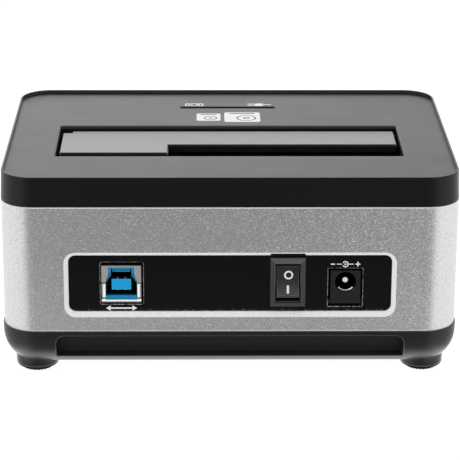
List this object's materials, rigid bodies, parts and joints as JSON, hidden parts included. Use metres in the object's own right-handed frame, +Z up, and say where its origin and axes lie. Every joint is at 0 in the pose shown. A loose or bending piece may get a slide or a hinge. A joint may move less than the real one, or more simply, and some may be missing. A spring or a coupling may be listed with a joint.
{
  "type": "hard drive docking station",
  "caption": "Desktop dock for one bare 3.5 or 2.5 inch drive: sprung door over a top bay, aluminium band between black plastic covers, rear data socket, rocker switch and power inlet.",
  "frame": {"origin": "on the surface it stands on, below the middle of the casing", "axes": "+Z up, -Y to the rear with the sockets, +Y to the front where the user stands, +X to the right seen from the rear"},
  "size_m": [0.136, 0.0944, 0.0625],
  "materials": {
    "satin_black": "fine satin texture",
    "blasted_aluminium": "bead blasted and clear anodised, bevel cut bright",
    "base_black": "satin",
    "black_rubber": "matt",
    "zinc_steel": "zinc plated",
    "gloss_black": "semi gloss",
    "well_black": "satin",
    "door_silver": "satin silver",
    "bright_steel": "drawn wire",
    "smoked_light": "smoked, clear when lit",
    "led_white": "moulded",
    "board_green": "solder mask",
    "nickel_steel": "nickel plated",
    "socket_blue": "moulded",
    "gold_contacts": "gold flashed",
    "jack_black": "satin",
    "switch_black": "satin",
    "lead_sleeve": "smooth sleeve",
    "connector_black": "moulded",
    "chip_black": "moulded",
    "ferrite_grey": "pressed",
    "can_aluminium": "drawn",
    "ceramic_tan": "fired"
  },
  "bodies": {
    "housing": {"top_cover": "satin_black", "aluminium_shell": "blasted_aluminium", "base_tray": "base_black", "rubber_feet": "black_rubber", "case_screws": "zinc_steel", "rear_plate": "gloss_black", "drive_well": "well_black", "well_screws": "zinc_steel", "door_spring": "bright_steel", "light_guide": "smoked_light", "status_leds": "led_white", "main_board": "board_green", "board_screws": "zinc_steel", "usb_shell": "nickel_steel", "usb_insulator": "socket_blue", "usb_contacts": "gold_contacts", "jack_body": "jack_black", "jack_pin": "nickel_steel", "jack_spring": "nickel_steel", "switch_housing": "switch_black", "switch_terminals": "nickel_steel", "switch_leads": "lead_sleeve", "sata_connector": "connector_black", "sata_contacts": "gold_contacts", "bridge_chip": "chip_black", "flash_chip": "chip_black", "crystal": "nickel_steel", "inductors": "ferrite_grey", "can_capacitors": "can_aluminium", "capacitor_feet": "connector_black", "ceramic_parts": "ceramic_tan"},
    "door": {"door_panel": "well_black", "door_plate": "door_silver", "door_hinge_pin": "bright_steel"},
    "rocker": {"switch_rocker": "switch_black"}
  },
  "joints": [
    {"name": "door_hinge", "type": "hinge", "parent": "housing", "child": "door", "pos_m": [0, 0.00895, 0.05795], "axis": [1, 0, 0], "range_deg": [0, 88], "stiffness_Nm_per_rad": 0.004, "springref_deg": -45.84, "deforming": ["door_spring"]},
    {"name": "switch_tilt", "type": "hinge", "parent": "housing", "child": "rocker", "pos_m": [0.01705, -0.0423, 0.02972], "axis": [1, 0, 0], "range_deg": [0, 20]}
  ]
}
